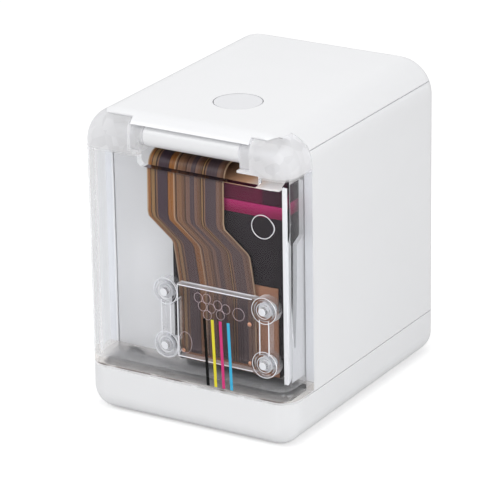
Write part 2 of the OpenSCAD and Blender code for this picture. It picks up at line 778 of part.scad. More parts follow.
module base_cap() {
    t = wall;
    color([0.95, 0.95, 0.96]) difference() {
        union() {
            difference() {
                translate([0, 0, cap_h]) mirror([0, 0, 1]) soft_block(body_w, body_d, 0, cap_h, base_round, edge_round);
                translate([0, 0, cap_h]) mirror([0, 0, 1]) soft_block(body_w - 2 * t, body_d - 2 * t, -1,
                    cap_h - cap_floor, base_round - t, edge_round - t);
            }
            // magnet bosses
            for (p = magnet_pos) translate([p[0], p[1], cap_floor - 0.5])
                cylinder(h = plate_z0 - 0.3 - cap_floor + 0.5, r = magnet_d / 2 + 1);
            // nibs under the clear cover
            for (k = [-4:3]) block([1.5 + k * 5.85 - 0.65, front_y + 0.3, cap_h - 0.5],
                [1.5 + k * 5.85 + 0.65, front_y + 1.6, cap_h + 0.2]);
            // rim round the sealing pad
            block([nose_x0 - 1.4, nose_y0 - 0.2, cap_floor - 0.5], [nose_x1 + 1.4, nose_y1 + 1.2, cap_floor + 1.2]);
        }
        for (p = magnet_pos) translate([p[0], p[1], plate_z0 - 0.3 - magnet_t])
            cylinder(h = magnet_t + 1, r = magnet_d / 2);
        block([nose_x0 - 0.4, nose_y0 + 0.8, cap_floor], [nose_x1 + 0.4, nose_y1 + 0.2, cap_floor + 3]);
    }
}

module cap_pad() {
    color([0.3, 0.3, 0.32]) difference() {
        block([nose_x0 - 0.4, nose_y0 + 0.8, cap_floor], [nose_x1 + 0.4, nose_y1 + 0.2, plate_z0 - 0.4]);
        block([line_x(0) - 1.2, nose_y0 + 2.2, plate_z0 - 1.2], [line_x(3) + 1.2, nose_y1 - 2.2, plate_z0]);
    }
}

module cap_magnets() {
    color([0.7, 0.7, 0.72]) for (p = magnet_pos) translate([p[0], p[1], plate_z0 - 0.3 - magnet_t])
        cylinder(h = magnet_t, r = magnet_d / 2);
}

body_shell();
top_cover();
inner_frame();
bottom_plate();
frame_screws();
hinge_pin();
clear_cover();
press_block();
block_screws();
pressure_pad();
flex_front();
flex_tail();
guide_line_black();
guide_line_yellow();
guide_line_magenta();
guide_line_cyan();
cartridge_body();
cartridge_lid();
cartridge_contacts();
nozzle_plate();
bay_stud();
main_board();
flex_connector();
radio_can();
usb_socket();
battery();
switch_board();
tact_switch();
power_button();
left_axle();
left_tyres();
encoder_disc();
encoder_sensor();
right_axle();
right_tyres();
body_magnets();
base_cap();
cap_pad();
cap_magnets();
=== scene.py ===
import math

import bmesh
import bpy
from mathutils import Matrix, Vector


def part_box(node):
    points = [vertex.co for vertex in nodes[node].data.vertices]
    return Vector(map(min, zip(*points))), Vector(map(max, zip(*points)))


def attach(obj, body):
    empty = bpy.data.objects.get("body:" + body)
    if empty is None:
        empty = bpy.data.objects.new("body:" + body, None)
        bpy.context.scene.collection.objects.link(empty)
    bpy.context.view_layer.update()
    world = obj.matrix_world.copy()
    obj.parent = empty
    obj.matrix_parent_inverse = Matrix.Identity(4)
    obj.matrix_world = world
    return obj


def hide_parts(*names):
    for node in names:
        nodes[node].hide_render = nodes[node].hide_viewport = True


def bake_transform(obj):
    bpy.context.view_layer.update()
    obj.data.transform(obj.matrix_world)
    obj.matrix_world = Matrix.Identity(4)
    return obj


# Visual model of a handheld ink-jet printer cube, in metres, in the frame of its CAD nodes

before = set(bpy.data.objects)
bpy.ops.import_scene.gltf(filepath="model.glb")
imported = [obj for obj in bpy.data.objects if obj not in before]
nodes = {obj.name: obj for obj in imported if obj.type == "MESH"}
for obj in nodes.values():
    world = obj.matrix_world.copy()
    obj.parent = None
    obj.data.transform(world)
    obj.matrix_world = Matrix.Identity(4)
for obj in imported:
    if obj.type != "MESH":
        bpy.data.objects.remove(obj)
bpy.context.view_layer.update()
MM = 0.001

# ---------- camera ----------

# Fitted to the edges and corners of the body in the photograph
CAMERA_TURN = math.radians(30.755)
CAMERA_RISE = math.radians(20.566)
CAMERA_ROLL = math.radians(-0.846)
CAMERA_DISTANCE = 0.7247
FOCAL_PIXELS = 3314.6
IMAGE_SIZE = 500.0
SENSOR_WIDTH = 36.0
OBJECT_CENTRE = Vector((0.0, 0.0, 0.0345))
CENTRE_ON_IMAGE = (264.3, 231.1)


def link_object(name, data):
    """Object with this data, linked to the scene."""
    obj = bpy.data.objects.new(name, data)
    bpy.context.scene.collection.objects.link(obj)
    return obj


def make_camera():
    """Camera at the viewing angle of the photograph."""
    a = CAMERA_TURN
    e = CAMERA_RISE
    back = Vector((math.sin(a) * math.cos(e), -math.cos(a) * math.cos(e), math.sin(e)))
    right = Vector((math.cos(a), math.sin(a), 0.0))
    up = back.cross(right)
    r = CAMERA_ROLL
    x_axis = right * math.cos(r) + up * math.sin(r)
    y_axis = up * math.cos(r) - right * math.sin(r)
    data = bpy.data.cameras.new("camera")
    data.sensor_width = SENSOR_WIDTH
    data.sensor_fit = "HORIZONTAL"
    data.lens = FOCAL_PIXELS / IMAGE_SIZE * SENSOR_WIDTH
    data.shift_x = -(CENTRE_ON_IMAGE[0] - IMAGE_SIZE / 2) / IMAGE_SIZE
    data.shift_y = (CENTRE_ON_IMAGE[1] - IMAGE_SIZE / 2) / IMAGE_SIZE
    data.clip_start = 0.01
    data.clip_end = 50.0
    camera = link_object("camera", data)
    place = OBJECT_CENTRE + back * CAMERA_DISTANCE
    turn = Matrix((x_axis, y_axis, back)).transposed().to_4x4()
    camera.matrix_world = Matrix.Translation(place) @ turn
    bpy.context.scene.camera = camera


# ---------- node helpers ----------

# Levels of a ramp that fades out
FADING = (1.0, 0.0)


class Tree:
    """Node tree of a material or of the world, with short ways to fill it."""

    def __init__(self, owner, output_kind="ShaderNodeOutputMaterial"):
        owner.use_nodes = True
        self.nodes = owner.node_tree.nodes
        self.links = owner.node_tree.links
        self.nodes.clear()
        self.output = self.nodes.new(output_kind)

    def put(self, socket, value):
        """Links another node's output to a socket, or sets its value, a colour as three numbers."""
        if isinstance(value, bpy.types.NodeSocket):
            self.links.new(value, socket)
        elif socket.type == "RGBA":
            socket.default_value = (*value, 1.0)
        else:
            socket.default_value = value

    def add(self, kind, settings=None, **inputs):
        """Node of this kind with its settings. Inputs go by name, with _ for a space."""
        node = self.nodes.new(kind)
        for key, value in (settings or {}).items():
            setattr(node, key, value)
        for key, value in inputs.items():
            self.put(node.inputs[key.replace("_", " ")], value)
        return node

    def add_in_order(self, kind, settings, *values):
        """Node of this kind with its inputs in the order of its sockets."""
        node = self.add(kind, settings)
        for socket, value in zip(node.inputs, values):
            self.put(socket, value)
        return node

    def math(self, operation, first, second=0.0):
        """Result of a math operation on two values."""
        node = self.add_in_order("ShaderNodeMath", {"operation": operation}, first, second)
        return node.outputs["Value"]

    def vector(self, operation, first, second=(0.0, 0.0, 0.0), output="Vector"):
        """Result of a math operation on two vectors."""
        node = self.add_in_order("ShaderNodeVectorMath", {"operation": operation}, first, second)
        return node.outputs[output]

    def away_from(self, value, middle):
        """Distance of a value from a middle."""
        return self.math("ABSOLUTE", self.math("SUBTRACT", value, middle))

    def away_in_xz(self, place, middle):
        """Distances in X and in Z of a place from a middle, as a vector."""
        return self.vector("ABSOLUTE", self.vector("SUBTRACT", place, (middle[0], 0.0, middle[1])))

    def axes(self, vector):
        """X, Y and Z of a vector."""
        node = self.add("ShaderNodeSeparateXYZ", Vector=vector)
        return node.outputs["X"], node.outputs["Y"], node.outputs["Z"]

    def ramp(self, value, span, levels=(0.0, 1.0)):
        """Value mapped from its span onto two levels and held beyond both."""
        node = self.add("ShaderNodeMapRange", Value=value, From_Min=span[0], From_Max=span[1],
                        To_Min=levels[0], To_Max=levels[1])
        return node.outputs["Result"]

    def noise(self, place, scale, detail, distortion=0.0):
        """Soft noise around 0.5."""
        node = self.add("ShaderNodeTexNoise", Vector=place, Scale=scale, Detail=detail,
                        Distortion=distortion)
        return node.outputs["Fac"]

    def bump(self, height, strength, distance):
        """Normal that a height bends."""
        node = self.add("ShaderNodeBump", Height=height, Strength=strength, Distance=distance)
        return node.outputs["Normal"]

    def mix_color(self, share, first, second, blend="MIX"):
        """Two colours blended by a share of the second."""
        node = self.add("ShaderNodeMixRGB", {"blend_type": blend}, Fac=share, Color1=first, Color2=second)
        return node.outputs["Color"]

    def mix_shader(self, share, first, second):
        """Two shaders mixed by a share of the second."""
        return self.add_in_order("ShaderNodeMixShader", None, share, first, second).outputs["Shader"]

    def show(self, shader):
        """Makes a shader the surface of this tree."""
        self.links.new(shader, self.output.inputs["Surface"])


def new_material(name):
    """Empty material and its tree."""
    material = bpy.data.materials.new(name)
    return material, Tree(material)


def shaded(color, level):
    """Colour made brighter or darker by a level."""
    return [level * channel for channel in color]


# ---------- plain materials ----------

DRIFT_SCALE = 60.0
GRAIN_SIZE = 0.0004
GRAIN_RELIEF = 0.00005
COAT_ROUGHNESS = 0.12


def plastic(name, color, roughness, grain=0.02, shade=0.03, coat=0.0, metallic=0.0, specular=0.5):
    """Moulded plastic, rubber or metal: fine grain in its relief and a slight drift in its colour."""
    material, tree = new_material(name)
    place = tree.add("ShaderNodeTexCoord").outputs["Object"]
    tint = tree.mix_color(tree.noise(place, DRIFT_SCALE, 3.0), color, shaded(color, 1.0 - shade))
    relief = tree.bump(tree.noise(place, 1.0 / GRAIN_SIZE, 4.0), grain, GRAIN_RELIEF)
    shader = tree.add("ShaderNodeBsdfPrincipled", Base_Color=tint, Roughness=roughness, Metallic=metallic,
                      Coat_Weight=coat, Coat_Roughness=COAT_ROUGHNESS, Specular_IOR_Level=specular,
                      Normal=relief)
    tree.show(shader.outputs["BSDF"])
    return material


# ---------- clear plastic ----------

# White haze and painted sheen: its colour, the shade of its darker facets, and their scale
HAZE_AND_SHEEN_COLOR = (0.97, 0.97, 0.98)
FACET_SHADE = 0.84
FACET_SCALE = 420.0
# Faint waves in the surface of the bending glass
WAVE_SCALE = 90.0
WAVE_STRENGTH = 0.03
WAVE_RELIEF = 0.0002
# How fast white grows towards a grazing angle, a painted sheen, in the bending glass and where rays pass
# straight, and how strong it is there, less what is dropped from it, down to its least
GLASS_RIM_POWER = 5.0
RIM_POWER = 2.0
RIM_STRENGTH = 0.95
RIM_DROP = 0.032
RIM_LEAST = 0.004
# How much of a lamp's light passes
LAMP_SHARE = 0.95
# Width over which the border of a box without edges fades, in metres
BORDER = 0.0001

# Zones of the cover. Each pair of lengths is the span over which a zone fades in or out, in metres
# Solid corners beside the hinge's middle and from a height on
HINGE_X = 0.0014
CORNER_BESIDE = (0.0112, 0.0116)
CORNER_HEIGHT = (0.0597, 0.0606)
CORNER_HAZE = 0.85
# Four posts around a centre in X and Z, their radius, and the plane they start from
POST_CENTRE = (0.0062, 0.0242)
POST_OFFSET = (0.0121, 0.0061)
POST_RADIUS = (0.0031, 0.0032)
POST_FRONT = (-0.0313, -0.0312)
# Sill: its top, its tint, its haze, and the painted glints streaked along it
SILL_TOP = (0.0125, 0.0127)
SILL_TINT = (0.94, 0.92, 0.9)
SILL_HAZE = 0.05
STREAK_SCALE = (40.0, 500.0, 500.0)
STREAK_TWIST = 0.6
STREAK_SPAN = (0.55, 0.62)
STREAK_GLINT = 0.3
# Painted shadow of the gap along the foot of the sill at the cap, broken up by moulding nibs
GAP_SHADOW_HEIGHT = (0.01095, 0.0113)
GAP_SHADOW_DEPTH = (-0.0325, -0.0323)
GAP_SHADOW_TINT = (0.32, 0.27, 0.25)
GAP_SHADOW_SHARE = 0.9
NIB_SCALE = 260.0
NIB_SPAN = (0.4, 0.5)
NIB_LEAST = 0.15
# Dark edge of the notch: its height, its reach above and below, how far its face looks up, and where
# in X it starts
NOTCH_EDGE = 0.0581
EDGE_REACH = (0.0001, 0.00012)
EDGE_UP = (0.5, 0.6)
EDGE_START = (-0.0098, -0.0094)
EDGE_TINT = (0.3, 0.25, 0.27)
# Side walls, and the share of the rim's haze that they keep
SIDE_WALL = (0.0236, 0.0237)
SIDE_RIM = 0.6
# Pad and its recess in the press block: middle and half size in X and Z
PAD_BOX = ((0.0072, 0.0242), (0.00595, 0.00545))


def white_haze_and_sheen(tree, place):
    """Milky white that is lit on both sides, with pale facets in it; it serves as haze and as painted sheen.
    """
    cells = tree.add("ShaderNodeTexVoronoi", Vector=place, Scale=FACET_SCALE)
    facets = tree.mix_color(cells.outputs["Color"], shaded(HAZE_AND_SHEEN_COLOR, FACET_SHADE), HAZE_AND_SHEEN_COLOR)
    white = tree.add("ShaderNodeBsdfDiffuse", Color=facets)
    through = tree.add("ShaderNodeBsdfTranslucent", Color=facets)
    return tree.mix_shader(0.5, white.outputs["BSDF"], through.outputs["BSDF"])


def cover_zones(tree, coordinates):
    """Zones of the clear cover, each a share from 0 to 1.

    corner is the haze of the two solid corners at the hinge. Rays pass straight through the posts, the
    sill, the upper edge of the notch and the side walls, and straight is all of these together.
    """
    place = coordinates.outputs["Object"]
    x, y, z = tree.axes(place)
    corner = tree.math("MULTIPLY", tree.ramp(tree.away_from(x, HINGE_X), CORNER_BESIDE),
                       tree.ramp(z, CORNER_HEIGHT, (0.0, CORNER_HAZE)))
    off_centre = tree.away_in_xz(place, POST_CENTRE)
    off_post = tree.vector("SUBTRACT", off_centre, (POST_OFFSET[0], 0.0, POST_OFFSET[1]))
    off_post = tree.vector("MULTIPLY", off_post, (1.0, 0.0, 1.0))
    radius = tree.vector("LENGTH", off_post, output="Value")
    post = tree.math("MULTIPLY", tree.ramp(radius, POST_RADIUS, FADING), tree.ramp(y, POST_FRONT))
    sill = tree.ramp(z, SILL_TOP, FADING)
    facing_up = tree.axes(coordinates.outputs["Normal"])[2]
    edge = tree.math("MULTIPLY", tree.ramp(tree.away_from(z, NOTCH_EDGE), EDGE_REACH, FADING),
                     tree.ramp(facing_up, EDGE_UP))
    edge = tree.math("MULTIPLY", edge, tree.ramp(x, EDGE_START))
    side = tree.ramp(tree.math("ABSOLUTE", x), SIDE_WALL)
    straight = tree.math("MAXIMUM", post, sill)
    for zone in (edge, side):
        straight = tree.math("MAXIMUM", straight, zone)
    return {"corner": corner, "sill": sill, "edge": edge, "side": side, "straight": straight}


def cover_tint(tree, place, color, zones):
    """Colour of the cover where rays pass straight through, with the painted shadow of the gap along the
    sill's foot.
    """
    _, y, z = tree.axes(place)
    # painted shadow: a dark line where the sill meets the cap, broken up by nibs
    gap_shadow = tree.math("MULTIPLY", tree.ramp(z, GAP_SHADOW_HEIGHT, (GAP_SHADOW_SHARE, 0.0)),
                     tree.ramp(y, GAP_SHADOW_DEPTH, FADING))
    nibs = tree.ramp(tree.noise(place, NIB_SCALE, 1.0), NIB_SPAN, (NIB_LEAST, 1.0))
    gap_shadow = tree.math("MULTIPLY", gap_shadow, nibs)
    tint = color
    for share, tone in ((zones["sill"], SILL_TINT), (zones["edge"], EDGE_TINT), (gap_shadow, GAP_SHADOW_TINT)):
        tint = tree.mix_color(share, tint, tone)
    return tint


def cover_rim(tree, place, rim, zones):
    """The cover's own share of white where rays pass straight through: painted sheen at a grazing angle,
    haze on the sill and in the corners, and painted glints on the sill.
    """
    rim = tree.math("MULTIPLY", rim, tree.ramp(zones["side"], (0.0, 1.0), (1.0, SIDE_RIM)))
    rim = tree.math("ADD", rim, tree.math("MULTIPLY", zones["sill"], SILL_HAZE))
    rim = tree.math("MULTIPLY", rim, tree.math("SUBTRACT", 1.0, zones["edge"]))
    # painted glints: pale streaks along the sill
    stretched = tree.add("ShaderNodeMapping", Vector=place, Scale=STREAK_SCALE)
    streaks = tree.noise(stretched.outputs["Vector"], 1.0, 3.0, STREAK_TWIST)
    glint = tree.math("MULTIPLY", tree.ramp(streaks, STREAK_SPAN, (0.0, STREAK_GLINT)), zones["sill"])
    for haze_and_sheen in (glint, zones["corner"]):
        rim = tree.math("MAXIMUM", rim, haze_and_sheen)
    return rim


def outside_box(tree, place, box):
    """Share that is 0 inside a box in X and Z, ((x, z) middle, (x, z) half size), and 1 outside."""
    middle, half = box
    beside_x, _, beside_z = tree.axes(tree.away_in_xz(place, middle))
    return tree.math("MAXIMUM", tree.ramp(beside_x, (half[0], half[0] + BORDER)),
                     tree.ramp(beside_z, (half[1], half[1] + BORDER)))


def clear_plastic(name, color, roughness, ior=1.3, glass_rim=0.0, is_cover=False, quiet=None):
    """Clear plastic that lets lamp light through to what is behind it.

    The cover's walls bend rays like glass, turning white at a grazing angle by glass_rim, a painted sheen.
    Through its posts and sill, and through every other clear piece, rays pass straight instead, because bent
    rays run out of bounces there and turn black. quiet is a box in which the painted sheen at edges doesn't
    show.
    """
    material, tree = new_material(name)
    coordinates = tree.add("ShaderNodeTexCoord")
    place = coordinates.outputs["Object"]
    waves = tree.bump(tree.noise(place, WAVE_SCALE, 2.0), WAVE_STRENGTH, WAVE_RELIEF)
    glass = tree.add("ShaderNodeBsdfPrincipled", Base_Color=color, Roughness=roughness, IOR=ior,
                     Transmission_Weight=1.0, Normal=waves)
    plain = tree.add("ShaderNodeBsdfTransparent", Color=color)
    haze_and_sheen = white_haze_and_sheen(tree, place)
    # painted sheen: every clear face turns white towards a grazing angle
    grazing = tree.add("ShaderNodeLayerWeight", Blend=0.5).outputs["Facing"]
    haze_and_sheen_share = tree.math("MULTIPLY", tree.math("POWER", grazing, GLASS_RIM_POWER), glass_rim)
    rim = tree.math("MULTIPLY", tree.math("POWER", grazing, RIM_POWER), RIM_STRENGTH)
    rim = tree.math("MAXIMUM", tree.math("SUBTRACT", rim, RIM_DROP), RIM_LEAST)
    # in every piece but the cover, rays pass straight everywhere and the glass has no share
    straight_share = 1.0
    if is_cover:
        zones = cover_zones(tree, coordinates)
        haze_and_sheen_share = tree.math("MAXIMUM", haze_and_sheen_share, zones["corner"])
        straight_share = zones["straight"]
        tree.put(plain.inputs["Color"], cover_tint(tree, place, color, zones))
        rim = cover_rim(tree, place, rim, zones)
    if quiet:
        rim = tree.math("MULTIPLY", rim, outside_box(tree, place, quiet))
    straight_body = tree.mix_shader(rim, plain.outputs["BSDF"], haze_and_sheen)
    glass_body = tree.mix_shader(haze_and_sheen_share, glass.outputs["BSDF"], haze_and_sheen)
    body = tree.mix_shader(straight_share, glass_body, straight_body)
    for_lamps = tree.add("ShaderNodeBsdfTransparent", Color=shaded(color, LAMP_SHARE))
    is_shadow = tree.add("ShaderNodeLightPath").outputs["Is Shadow Ray"]
    tree.show(tree.mix_shader(is_shadow, body, for_lamps.outputs["BSDF"]))
    return material


# ---------- cartridge lid and its film ----------

# Height from which the lid is darker purple, painted shade. Below, its magenta band brightens up to a
# painted highlight near its top
LID_SHADE_STEP = 0.05262
LID_DRIFT_SCALE = 150.0
BAND_COLORS = ((0.19, 0.005, 0.05), (0.16, 0.005, 0.042))
BAND_HIGHLIGHT = (0.34, 0.018, 0.11)
BAND_HIGHLIGHT_SPAN = (0.0506, 0.0526)
LID_SHADE_COLORS = ((0.07, 0.002, 0.018), (0.09, 0.003, 0.026))
# The painted shade on the purple is deeper at its right end
LID_DEEP_SHADE = (0.02, 0.006, 0.014)
LID_DEEP_SHADE_SPAN = (0.0162, 0.0166)
LID_DEEP_SHADE_SHARE = 0.8
# The film's brown is painted amber shade under the flex tail, made bright against the knuckle's shadow; it
# pales towards its right end
FILM_DRIFT_SCALE = 200.0
FILM_AMBER_SHADE_COLORS = ((0.85, 0.49, 0.29), (0.76, 0.43, 0.26))
FILM_PALE = (0.9, 0.86, 0.84)
FILM_PALE_SPAN = (0.011, 0.0165)


def lid_material():
    """Cartridge lid: magenta band below, brightening to a painted highlight near its top, and darker purple
    above, painted shade.
    """
    material, tree = new_material("magenta_plastic")
    place = tree.add("ShaderNodeTexCoord").outputs["Object"]
    x, _, z = tree.axes(place)
    cloud = tree.noise(place, LID_DRIFT_SCALE, 3.0)
    # painted highlight: the band brightens towards its top
    band = tree.mix_color(tree.ramp(z, BAND_HIGHLIGHT_SPAN), tree.mix_color(cloud, *BAND_COLORS), BAND_HIGHLIGHT)
    # painted shade: darker purple above the band, deeper towards its right end
    deep_shade = tree.ramp(x, LID_DEEP_SHADE_SPAN, (0.0, LID_DEEP_SHADE_SHARE))
    shaded_purple = tree.mix_color(deep_shade, tree.mix_color(cloud, *LID_SHADE_COLORS), LID_DEEP_SHADE)
    color = tree.mix_color(tree.math("GREATER_THAN", z, LID_SHADE_STEP), band, shaded_purple)
    shader = tree.add("ShaderNodeBsdfPrincipled", Base_Color=color, Roughness=0.45, Specular_IOR_Level=0.15)
    tree.show(shader.outputs["BSDF"])
    return material


def lid_film_material():
    """Film whose brown, painted amber shade under the flex tail, pales towards its right end."""
    material, tree = new_material("lid_film")
    place = tree.add("ShaderNodeTexCoord").outputs["Object"]
    # painted shade: brown tinted amber by the flex tail over the film
    amber_shade = tree.mix_color(tree.noise(place, FILM_DRIFT_SCALE, 3.0), *FILM_AMBER_SHADE_COLORS)
    color = tree.mix_color(tree.ramp(tree.axes(place)[0], FILM_PALE_SPAN), amber_shade, FILM_PALE)
    shader = tree.add("ShaderNodeBsdfPrincipled", Base_Color=color, Roughness=0.4, Specular_IOR_Level=0.3)
    tree.show(shader.outputs["BSDF"])
    return material


# ---------- flex material ----------

PALE = (0.62, 0.42, 0.26)
AMBER = (0.33, 0.125, 0.03)
GOLD = (0.34, 0.19, 0.075)
TAN = (0.27, 0.135, 0.07)
MAUVE = (0.21, 0.115, 0.085)
BROWN = (0.17, 0.085, 0.05)
SLATE = (0.062, 0.036, 0.05)
GREY = (0.088, 0.058, 0.066)
UMBER = (0.045, 0.022, 0.016)
# Stripes of the flex from its left edge, as shares of its width
STRIPES = [
    (0.0, PALE), (0.012, AMBER), (0.045, UMBER), (0.055, GOLD), (0.1, UMBER), (0.118, TAN), (0.135, SLATE),
    (0.262, UMBER), (0.275, AMBER), (0.345, PALE), (0.358, TAN), (0.375, UMBER), (0.39, TAN), (0.455, BROWN),
    (0.495, UMBER), (0.507, MAUVE), (0.56, GREY), (0.62, MAUVE), (0.655, BROWN), (0.7, UMBER), (0.712, GOLD),
    (0.73, UMBER), (0.745, TAN), (0.76, GREY), (0.9, MAUVE), (0.945, BROWN), (0.985, PALE),
]
# Distances along the flex from its connector, in metres: the painted shade line at the crease where its bend
# ends, and the stretch over which its stripes fade
CREASE_AT = 0.0567
CREASE_HALF = 0.0006
CREASE_SHADE_TINT = (0.08, 0.06, 0.08)
CREASE_SHADE_SHARE = 0.75
FADE_SPAN = (0.0655, 0.0745)
FADE_TINT = (0.12, 0.078, 0.07)
FADE_SHARE = 0.45
# Fine tracks: their scale across and along the flex, and how dark the noise makes them
TRACK_SCALE = (120.0, 14.0, 1.0)
TRACK_SPAN = (0.36, 0.64)
TRACK_LEVELS = (0.5, 0.88)
TRACK_STRENGTH = 0.1
TRACK_RELIEF = 0.00004


def flex_material():
    """Amber film with copper tracks and dark screens along it; U runs across, V along in metres."""
    material, tree = new_material("flex_film")
    uv = tree.add("ShaderNodeUVMap", {"uv_map": "along"}).outputs["UV"]
    across, along, _ = tree.axes(uv)
    stripes = tree.add("ShaderNodeValToRGB", Fac=across)
    stripes.color_ramp.interpolation = "CONSTANT"
    elements = stripes.color_ramp.elements
    for element, (share, color) in zip(elements, (STRIPES[0], STRIPES[-1])):
        element.position = share
        element.color = (*color, 1.0)
    for share, color in STRIPES[1:-1]:
        elements.new(share).color = (*color, 1.0)
    fade = tree.ramp(along, FADE_SPAN, (0.0, FADE_SHARE))
    color = tree.mix_color(fade, stripes.outputs["Color"], FADE_TINT)
    # painted shade: a dark line across the flex at its crease
    crease_shade = tree.ramp(tree.away_from(along, CREASE_AT), (0.0, CREASE_HALF), (CREASE_SHADE_SHARE, 0.0))
    color = tree.mix_color(crease_shade, color, CREASE_SHADE_TINT, "MULTIPLY")
    stretched = tree.add("ShaderNodeMapping", Vector=uv, Scale=TRACK_SCALE)
    tracks = tree.noise(stretched.outputs["Vector"], 1.0, 2.0)
    color = tree.mix_color(1.0, color, tree.ramp(tracks, TRACK_SPAN, TRACK_LEVELS), "MULTIPLY")
    relief = tree.bump(tracks, TRACK_STRENGTH, TRACK_RELIEF)
    shader = tree.add("ShaderNodeBsdfPrincipled", Base_Color=color, Roughness=0.4, Specular_IOR_Level=0.25,
                      Normal=relief)
    tree.show(shader.outputs["BSDF"])
    return material


# ---------- finishes ----------

WHITE = plastic("white_plastic", (0.83, 0.835, 0.85), 0.32, grain=0.03, coat=0.2)
BUTTON = plastic("button_plastic", (0.74, 0.745, 0.77), 0.3, coat=0.3)
FRAME = plastic("frame_plastic", (0.68, 0.68, 0.69), 0.5)
DARK = plastic("dark_plastic", (0.06, 0.06, 0.065), 0.5)
BLACK = plastic("black_plastic", (0.013, 0.009, 0.012), 0.55, grain=0.004, specular=0.15)
BRIGHT_STEEL = plastic("bright_steel", (0.85, 0.85, 0.87), 0.4, metallic=0.6)
STEEL = plastic("screw_steel", (0.62, 0.63, 0.65), 0.3, metallic=1.0)
CLEAR = clear_plastic("clear_plastic", (0.985, 0.99, 1.0), 0.01, ior=1.22, glass_rim=0.3, is_cover=True)
BLOCK = clear_plastic("block_plastic", (0.98, 0.98, 0.985), 0.02, quiet=PAD_BOX)
SILICONE = clear_plastic("clear_silicone", (0.95, 0.95, 0.97), 0.1, quiet=PAD_BOX)
# painted highlight: white for the rings and rims that stand in for bright edges
RING_HIGHLIGHT = plastic("ring_highlight", (0.8, 0.8, 0.82), 0.25, coat=0.5)
DIMPLE = plastic("dimple_edge", (0.62, 0.48, 0.5), 0.3)
COPPER_DOT = plastic("copper_stud", (0.75, 0.38, 0.24), 0.3, metallic=1.0)
PAD = plastic("pad_rubber", (0.1, 0.08, 0.075), 0.7)
FLEX_BACK = plastic("flex_film", (0.2, 0.09, 0.035), 0.35)
LINE_BLACK = plastic("black_ink", (0.004, 0.004, 0.004), 0.6, specular=0.1)
LINE_YELLOW = plastic("yellow_ink", (0.75, 0.65, 0.02), 0.5)
LINE_MAGENTA = plastic("magenta_ink", (0.62, 0.02, 0.18), 0.5)
LINE_CYAN = plastic("cyan_ink", (0.03, 0.42, 0.68), 0.5)
CONTACT = plastic("contact_film", (0.31, 0.15, 0.09), 0.4, shade=0.45, specular=0.2)
NOZZLE = plastic("nozzle_metal", (0.7, 0.5, 0.2), 0.3, metallic=1.0)
BOARD = plastic("board_lacquer", (0.02, 0.12, 0.05), 0.3)
CONNECTOR = plastic("connector_plastic", (0.7, 0.65, 0.5), 0.5)
TIN = plastic("tin_plate", (0.7, 0.7, 0.72), 0.35, metallic=1.0)
CELL = plastic("cell_wrap", (0.25, 0.28, 0.33), 0.45)
TYRE = plastic("tyre_rubber", (0.02, 0.02, 0.022), 0.75, grain=0.1)
ENCODER = plastic("encoder_metal", (0.75, 0.76, 0.78), 0.3, metallic=1.0)
MAGNET = plastic("magnet_plate", (0.7, 0.7, 0.72), 0.2, metallic=1.0)

FINISH = {
    "body_shell": WHITE, "top_cover": WHITE, "base_cap": WHITE, "power_button": BUTTON,
    "inner_frame": FRAME, "bottom_plate": DARK, "frame_screws": STEEL, "hinge_pin": STEEL,
    "clear_cover": CLEAR, "press_block": BLOCK, "block_screws": BRIGHT_STEEL, "pressure_pad": SILICONE,
    "flex_front": FLEX_BACK, "flex_tail": FLEX_BACK, "guide_line_black": LINE_BLACK,
    "guide_line_yellow": LINE_YELLOW, "guide_line_magenta": LINE_MAGENTA, "guide_line_cyan": LINE_CYAN,
    "cartridge_body": BLACK, "cartridge_lid": lid_material(), "cartridge_contacts": CONTACT,
    "nozzle_plate": NOZZLE, "bay_stud": BLACK, "main_board": BOARD, "flex_connector": CONNECTOR,
    "radio_can": TIN, "usb_socket": TIN, "battery": CELL, "switch_board": BOARD, "tact_switch": BLACK,
    "left_axle": STEEL, "right_axle": STEEL, "left_tyres": TYRE, "right_tyres": TYRE,
    "encoder_disc": ENCODER, "encoder_sensor": BLACK, "body_magnets": MAGNET, "cap_pad": PAD,
    "cap_magnets": MAGNET,
}


def dress(node_name, material):
    """Gives a CAD node its finish."""
    obj = nodes[node_name]
    if not obj.material_slots:
        obj.data.materials.append(material)
    for place in obj.material_slots:
        place.material = material


# ---------- mesh helpers ----------

# Bevel of a wire's edges, as a share of its thickness
TUBE_BEVEL = 0.4


def add_object(mesh, material, body, replaced=()):
    """Object of a finished mesh and its name, with its material, that rides on its body."""
    obj = link_object(mesh.name, mesh)
    mesh.materials.append(material)
    if replaced:
        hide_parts(*replaced)
    if body:
        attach(obj, body)
    return obj


def thicken(obj, thickness):
    """Gives a film its thickness, in mm, half to each side."""
    film = obj.modifiers.new("film", "SOLIDIFY")
    film.thickness = thickness * MM
    film.offset = 0.0


def in_mm(box):
    """Lowest and highest corner of a node's box, in mm."""
    lowest, highest = box
    return [c / MM for c in lowest], [c / MM for c in highest]


def vertex(bm, x, y, z):
    """New vertex at a place in mm."""
    return bm.verts.new((x * MM, y * MM, z * MM))


def join_loops(bm, first, second, smooth=False):
    """Faces between two closed loops of vertices."""
    count = len(first)
    for i in range(count):
        after = (i + 1) % count
        face = bm.faces.new((first[i], first[after], second[after], second[i]))
        face.smooth = smooth


def turn_outward(bm):
    bmesh.ops.recalc_face_normals(bm, faces=bm.faces)


def finished_mesh(bm, name):
    """Mesh of this name from a bmesh, which is freed."""
    mesh = bpy.data.meshes.new(name)
    bm.to_mesh(mesh)
    bm.free()
    return mesh


